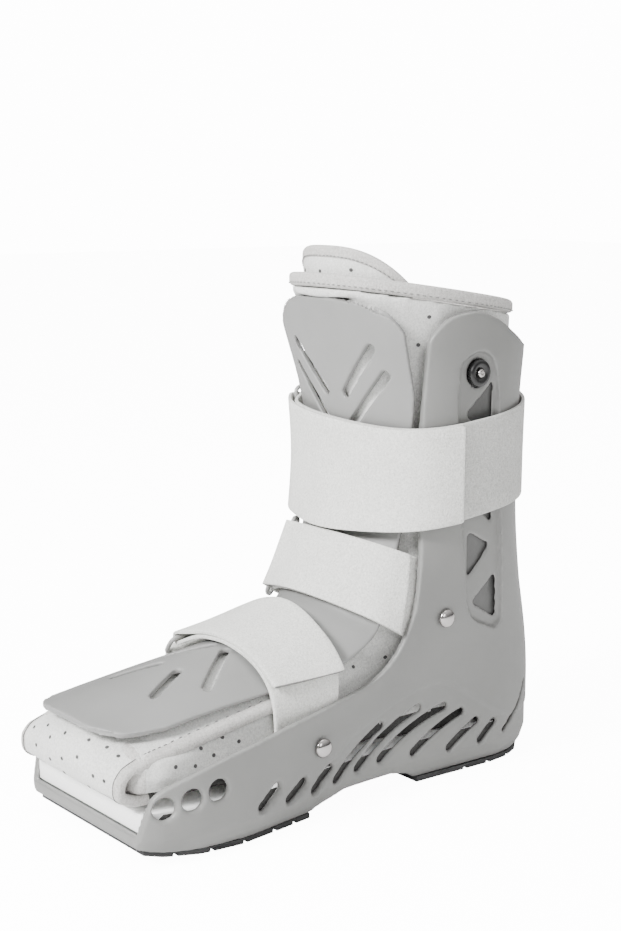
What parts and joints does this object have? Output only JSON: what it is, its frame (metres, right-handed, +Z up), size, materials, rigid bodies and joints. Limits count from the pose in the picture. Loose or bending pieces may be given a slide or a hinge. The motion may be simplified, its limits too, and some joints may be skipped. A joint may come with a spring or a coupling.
{
  "type": "medical walking boot",
  "caption": "Short walking boot with a hard side shell, two front plates, a padded liner with a rolled toe flap, and strap closures.",
  "frame": {"origin": "on the floor under the ankle, in the middle of the boot's width", "axes": "+Z up, -Y toward the toes, +X toward the side with the valve"},
  "size_m": [0.1259, 0.2937, 0.2852],
  "materials": {
    "plastic": "satin, light grey, moulded",
    "rubber": "matte, dark grey",
    "foam": "white foam slab, matte",
    "padding": "light grey padded cloth, perforated",
    "binding": "light grey tape with a line of stitches",
    "air_cell": "mid grey film, satin",
    "strap": "light grey loop pile webbing",
    "ring": "light grey, smooth",
    "steel": "polished",
    "valve": "black, smooth"
  },
  "bodies": {
    "root": {"shell": "plastic", "forefoot_tread": "rubber", "heel_tread": "rubber", "insole_pad": "foam", "foot_plate": "plastic", "shin_plate": "plastic", "liner": "padding", "collar_binding": "binding", "tongue": "padding", "tongue_binding": "binding", "toe_flap": "padding", "toe_flap_binding_near": "binding", "toe_flap_binding_far": "binding", "air_cell_near": "air_cell", "air_cell_far": "air_cell", "calf_strap": "strap", "forefoot_strap": "strap", "forefoot_anchor": "strap", "ankle_strap": "strap", "ankle_anchor": "strap", "calf_ring": "ring", "forefoot_ring": "ring", "ankle_ring": "ring", "ankle_rivet_near": "steel", "ankle_rivet_far": "steel", "forefoot_rivet_near": "steel", "forefoot_rivet_far": "steel", "valve_body": "valve", "valve_pin": "steel"}
  },
  "joints": []
}
